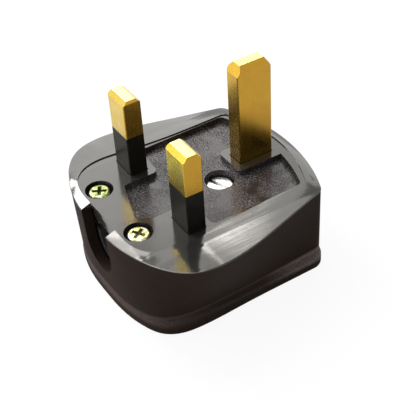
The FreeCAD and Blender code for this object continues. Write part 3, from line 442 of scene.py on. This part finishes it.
class PlugFinishes(bpy.types.PropertyGroup):
    """Colours and textures of the plug's pieces."""

    base_colour: colour_setting("Base", "Polished black of the pin plate", (0.016, 0.0155, 0.014))
    base_bloom: colour_setting("Base bloom", "Paler haze in the pin plate", (0.024, 0.023, 0.021))
    base_roughness: share_setting(
        "Base roughness", "How blurred the pin plate's reflections are", 0.115)
    rim_roll: depth_setting(
        "Rim roll-off", "Drop of the soft edge between the panel and the rim's flanks", 0.00014)
    corner_level: share_setting(
        "Corner level", "How level the rim's corners at the cable end look", 1.0)
    recess_colour: colour_setting("Recess", "Floor of the marking recess", (0.020, 0.017, 0.018))
    # Painted glints on the peaks of the recess's texture
    recess_glint: colour_setting(
        "Recess rubbed", "Peaks of the recess's texture", (0.07, 0.064, 0.065))
    recess_grain: bpy.props.FloatProperty(
        name="Recess grain", description="Waves per millimetre in the recess's texture",
        default=2.3, min=0.2, max=20.0)
    recess_relief: depth_setting("Recess relief", "Depth of the recess's texture", 0.00009)
    cover_colour: colour_setting("Cover", "Black-brown of the shell", (0.015, 0.0092, 0.0070))
    cover_pale: colour_setting("Cover tone", "Paler clouds in the shell", (0.021, 0.0135, 0.0105))
    # Painted highlight on the grip flange's band, where its bevel catches the light
    cover_flange_highlight: colour_setting(
        "Cover rubbed", "Worn plastic on the grip flange", (0.21, 0.172, 0.162))
    cover_roughness: share_setting("Cover roughness", "How matt the shell is", 0.58)
    cover_grain: bpy.props.FloatProperty(
        name="Cover grain", description="Size of the pits in the shell's texture",
        default=0.00028, min=0.00005, max=0.002, subtype="DISTANCE", unit="LENGTH", precision=5)
    cover_relief: depth_setting("Cover relief", "Depth of the pits in the shell's texture", 0.00009)
    brass_line: colour_setting("Line pin", "Pale brass of the line pin", (0.82, 0.60, 0.12))
    brass_neutral: colour_setting(
        "Neutral pin", "Olive brass of the neutral pin", (0.80, 0.63, 0.085))
    brass_earth: colour_setting("Earth pin", "Warm brass of the earth pin", (0.72, 0.45, 0.06))
    # Painted shade on the pins' sides that face +X
    brass_shaded_side: colour_setting(
        "Brass patina", "Deeper gold of the sides that face +X", (0.50, 0.275, 0.034))
    brass_tip: colour_setting("Brass tips", "Bare brass on the pins' ends", (0.76, 0.67, 0.20))
    brass_dull: colour_setting(
        "Brass dull", "Tarnish in the clouds and drawn lines", (0.34, 0.21, 0.03))
    # Darker brass towards the pins' roots
    brass_root: colour_setting("Brass root", "Tarnish at the roots", (0.20, 0.12, 0.02))
    brass_roughness: share_setting("Brass roughness", "Blur of the pins' reflections", 0.2)
    sleeve_colour: colour_setting("Sleeve", "Insulating sleeve", (0.006, 0.0058, 0.0045))
    sleeve_bloom: colour_setting("Sleeve bloom", "Paler haze on the sleeve", (0.012, 0.0115, 0.009))
    nylon_colour: colour_setting("Nylon", "Cord grip bar and screw retainer", (0.030, 0.029, 0.028))
    nylon_shade: colour_setting("Nylon bloom", "Greyer clouds in the nylon", (0.044, 0.043, 0.041))
    ceramic_colour: colour_setting("Ceramic", "Fuse barrel", (0.84, 0.82, 0.77))
    ceramic_shade: colour_setting(
        "Ceramic shade", "Greyer clouds in the barrel", (0.76, 0.74, 0.70))


class PlugStudio(bpy.types.PropertyGroup):
    """Camera, lamps, room and floor."""

    azimuth: angle_setting("Azimuth", "Camera's angle round the plug, from the cable end", 59.472)
    elevation: angle_setting("Elevation", "Camera's angle above the table", 40.078)
    roll: angle_setting("Roll", "Camera's turn about its own axis", -3.615)
    distance: bpy.props.FloatProperty(
        name="Distance", description="From the camera to its target",
        default=0.195877, min=0.05, subtype="DISTANCE", unit="LENGTH")
    target: bpy.props.FloatVectorProperty(
        name="Target", description="Point in the middle of the picture",
        default=(0.009381, -0.002711, 0.0203), size=3, subtype="TRANSLATION", unit="LENGTH")
    lens: bpy.props.FloatProperty(
        name="Lens", description="Focal length on a 36 mm wide frame, in millimetres",
        default=86.81, min=10.0)
    back_glow: glow_setting(
        "Back softbox", "Brightness of the panel that the pin plate mirrors", 2.8)
    low_glow: glow_setting(
        "Low softbox", "Brightness of the panel that the rim's far side mirrors", 2.2)
    far_glow: glow_setting("Far softbox", "Brightness of the panel beyond the earth end", 1.6)
    strip_glow: glow_setting(
        "Strip lamp", "Brightness of the strip that the rim's near side mirrors", 3.4)
    core_glow: glow_setting("Strip core", "Added brightness in the middle of the strip", 16.0)
    upper_glow: glow_setting("Upper softbox", "Brightness of the panel above the strip lamp", 2.6)
    high_glow: glow_setting(
        "High softbox", "Brightness of the panel that the rim's cable end corner mirrors", 7.0)
    cable_end_glow: glow_setting(
        "Cable end softbox", "Brightness of the panel that the cable end's rim mirrors", 8.0)
    side_glow: glow_setting(
        "Side softbox", "Brightness of the panel beyond the line pin's side", 20.0)
    cable_low_glow: glow_setting(
        "Cable end fill", "Brightness of the low panel that lights the cable end", 5.5)
    top_glow: glow_setting("Top softbox", "Brightness of the panel overhead", 2.5)
    room_glow: glow_setting("Room", "Brightness of the pale room round the plug", 0.28)
    floor_colour: colour_setting("Floor", "Pale table top", (0.85, 0.85, 0.85))


def softbox(name, azimuths, elevations, glow):
    """Rectangular lamp that fills a window of directions round the plug, in degrees from +Y
    towards -X and up from the table. Its power is brightness times pi times area."""
    azimuth, elevation = (math.radians(sum(pair) / 2) for pair in (azimuths, elevations))
    across, up = (math.radians((pair[1] - pair[0]) / 2) for pair in (azimuths, elevations))
    away = Vector((-math.sin(azimuth) * math.cos(elevation),
                   math.cos(azimuth) * math.cos(elevation), math.sin(elevation)))
    lamp = bpy.data.lights.new(name, "AREA")
    lamp.shape = "RECTANGLE"
    lamp.size = 2 * LAMP_DISTANCE * math.cos(elevation) * math.tan(across)
    lamp.size_y = 2 * LAMP_DISTANCE * math.tan(up)
    lamp.energy = glow * math.pi * lamp.size * lamp.size_y
    lamp_object = bpy.data.objects.new(name, lamp)
    bpy.context.scene.collection.objects.link(lamp_object)
    lamp_object.location = away * LAMP_DISTANCE + Vector((0, 0, PANEL_Z))
    lamp_object.rotation_mode = "QUATERNION"
    lamp_object.rotation_quaternion = (-away).to_track_quat("-Z", "Y")


def grid_mesh(name, points, material):
    """Mesh of quads on a grid of points, an array of rows by columns by three."""
    rows, columns = points.shape[:2]
    index = np.arange(rows * columns).reshape(rows, columns)
    corners = [index[:-1, :-1], index[:-1, 1:], index[1:, 1:], index[1:, :-1]]
    quads = np.stack(corners, -1).reshape(-1, 4)
    mesh = bpy.data.meshes.new(name)
    mesh.from_pydata(points.reshape(-1, 3).tolist(), [], quads.tolist())
    mesh.polygons.foreach_set("use_smooth", np.ones(len(quads), bool))
    mesh.materials.append(material)
    made = bpy.data.objects.new(name, mesh)
    bpy.context.scene.collection.objects.link(made)
    return made


def pale_room(studio):
    """World that lights the plug softly and is white where it is seen."""
    room = Graph("pale_room", world=True)
    glow = room.spread(room.seen(), 0.0, 1.0, studio.room_glow, 1.0)
    sky = room.add("ShaderNodeBackground", {"Color": (1, 1, 1, 1), "Strength": glow})
    room.add("ShaderNodeOutputWorld", {"Surface": sky.outputs[0]})
    return room.block


def table_top(studio):
    """Flat square floor. The camera sees it almost white, and some of its own colour is
    left in, to keep the plug's shadow."""
    paper = Graph("table_paper")
    matt = paper.add("ShaderNodeBsdfDiffuse", {"Color": (*studio.floor_colour, 1)})
    white = paper.add("ShaderNodeEmission", {"Color": (1, 1, 1, 1), "Strength": 1.0})
    share = paper.product(paper.seen(), FLOOR_WHITE)
    mixed = paper.add("ShaderNodeMixShader", {0: share, 1: matt.outputs[0], 2: white.outputs[0]})
    paper.add("ShaderNodeOutputMaterial", {"Surface": mixed.outputs[0]})
    reach = np.linspace(-FLOOR_REACH, FLOOR_REACH, FLOOR_POINTS)
    across, along = np.meshgrid(reach, reach)
    return grid_mesh("floor", np.stack([across, along, np.zeros_like(across)], -1), paper.block)


def studio_camera(studio):
    """Camera that looks at the target from an azimuth and elevation, rolled about its axis."""
    a, e, r = studio.azimuth, studio.elevation, studio.roll
    back = Vector((math.sin(a) * math.cos(e), -math.cos(a) * math.cos(e), math.sin(e)))
    right = Vector((0, 0, 1)).cross(back).normalized()
    up = back.cross(right)
    right, up = (math.cos(r) * right + math.sin(r) * up, math.cos(r) * up - math.sin(r) * right)
    lens = bpy.data.cameras.new("camera")
    lens.sensor_width, lens.lens = SENSOR_WIDTH, studio.lens
    lens.clip_start, lens.clip_end = 0.01, 10.0
    camera = bpy.data.objects.new("camera", lens)
    bpy.context.scene.collection.objects.link(camera)
    place = Vector(studio.target) + back * studio.distance
    turned = Matrix((right, up, back)).transposed().to_4x4()
    camera.matrix_world = Matrix.Translation(place) @ turned
    return camera


class PLUG_OT_stage(bpy.types.Operator):
    """Sets the pale floor, the room's light, the softboxes and the camera"""

    bl_idname = "plug.stage"
    bl_label = "Studio"

    def execute(self, context):
        scene = context.scene
        studio = scene.plug_studio
        scene.view_settings.view_transform = "Standard"
        scene.world = pale_room(studio)
        floor = table_top(studio)
        for name, azimuths, elevations, setting in SOFTBOXES:
            softbox(name, azimuths, elevations, getattr(studio, setting))
        scene.camera = studio_camera(studio)
        return {"FINISHED"}


class PLUG_OT_base(bpy.types.Operator):
    """Dresses the glossy pin plate"""

    bl_idname = "plug.base"
    bl_label = "Base"

    def execute(self, context):
        dress("base", base_finish(context.scene.plug_finishes))
        return {"FINISHED"}


class PLUG_OT_cover(bpy.types.Operator):
    """Dresses the matt shell"""

    bl_idname = "plug.cover"
    bl_label = "Cover"

    def execute(self, context):
        dress("cover", cover_finish(context.scene.plug_finishes))
        return {"FINISHED"}


class PLUG_OT_pins(bpy.types.Operator):
    """Dresses the three pins in brass and the two sleeves in satin black"""

    bl_idname = "plug.pins"
    bl_label = "Pins and sleeves"

    def execute(self, context):
        finishes = context.scene.plug_finishes
        earth_root = PANEL_Z + EARTH_ROOT_SHARE * (EARTH_TOP_Z - PANEL_Z)
        for name, face, low, high in (
                ("line", finishes.brass_line, SLEEVE_TOP_Z, PIN_TOP_Z),
                ("neutral", finishes.brass_neutral, SLEEVE_TOP_Z, PIN_TOP_Z),
                ("earth", finishes.brass_earth, PANEL_Z, earth_root)):
            brass = brushed_brass(name + "_brass", finishes, face, ROOT_DULLING[name], low, high)
            dress(name + "_pin", brass)
        sleeve = sleeve_finish(finishes)
        for node in ("line_sleeve", "neutral_sleeve"):
            dress(node, sleeve)
        return {"FINISHED"}


class PLUG_OT_screws(bpy.types.Operator):
    """Dresses the cover screw, the cord grip's screws and the terminal screws"""

    bl_idname = "plug.screws"
    bl_label = "Screws"

    def execute(self, context):
        for node in NICKEL_SCREWS:
            nickel = turned_metal(node + "_nickel", centre_of(node), NICKEL, 0.2, 0.1)
            dress(node, nickel)
        for node, wear in ZINC_PALING.items():
            zinc = turned_metal(node + "_zinc", centre_of(node), ZINC, 0.22, 0.3, wear)
            dress(node, zinc)
        return {"FINISHED"}


class PLUG_OT_inside(bpy.types.Operator):
    """Dresses the fuse, its clips, the line terminal, the insert and the nylon pieces"""

    bl_idname = "plug.inside"
    bl_label = "Inside pieces"

    def execute(self, context):
        finishes = context.scene.plug_finishes
        nylon = nylon_finish(finishes)
        for node in ("cord_grip_bar", "screw_retainer"):
            dress(node, nylon)
        insert = knurled_brass("insert_brass", centre_of("cover_insert"), finishes)
        dress("cover_insert", insert)
        dress("line_terminal", strip_metal("terminal_brass", *TERMINAL_BRASS))
        clip = strip_metal("clip_bronze", *CLIP_BRONZE)
        cap = strip_metal("fuse_cap_nickel", *CAP_NICKEL)
        for end in ("pin", "terminal"):
            dress(f"fuse_clip_{end}_end", clip)
            dress(f"fuse_cap_{end}_end", cap)
        dress("fuse_body", ceramic_finish(finishes))
        return {"FINISHED"}


PIECES = (PLUG_OT_stage, PLUG_OT_base, PLUG_OT_cover, PLUG_OT_pins, PLUG_OT_screws, PLUG_OT_inside)


class PLUG_PT_tools(bpy.types.Panel):
    """Lists the plug's finishes and its studio"""

    bl_idname = "PLUG_PT_tools"
    bl_label = "Three pin plug"
    bl_space_type = "VIEW_3D"
    bl_region_type = "UI"
    bl_category = "Plug"

    def draw(self, context):
        for group in (context.scene.plug_studio, context.scene.plug_finishes):
            box = self.layout.box()
            for name in group.__annotations__:
                box.prop(group, name)
        for piece in PIECES:
            self.layout.operator(piece.bl_idname)


CLASSES = (PlugFinishes, PlugStudio, *PIECES, PLUG_PT_tools)


def register():
    for item in CLASSES:
        bpy.utils.register_class(item)
    bpy.types.Scene.plug_finishes = bpy.props.PointerProperty(type=PlugFinishes)
    bpy.types.Scene.plug_studio = bpy.props.PointerProperty(type=PlugStudio)


def unregister():
    del bpy.types.Scene.plug_studio
    del bpy.types.Scene.plug_finishes
    for item in reversed(CLASSES):
        bpy.utils.unregister_class(item)


def main():
    """Sets the studio and dresses the plug."""
    register()
    bpy.ops.plug.stage()
    bpy.ops.plug.base()
    bpy.ops.plug.cover()
    bpy.ops.plug.pins()
    bpy.ops.plug.screws()
    bpy.ops.plug.inside()


if __name__ == "__main__":
    main()
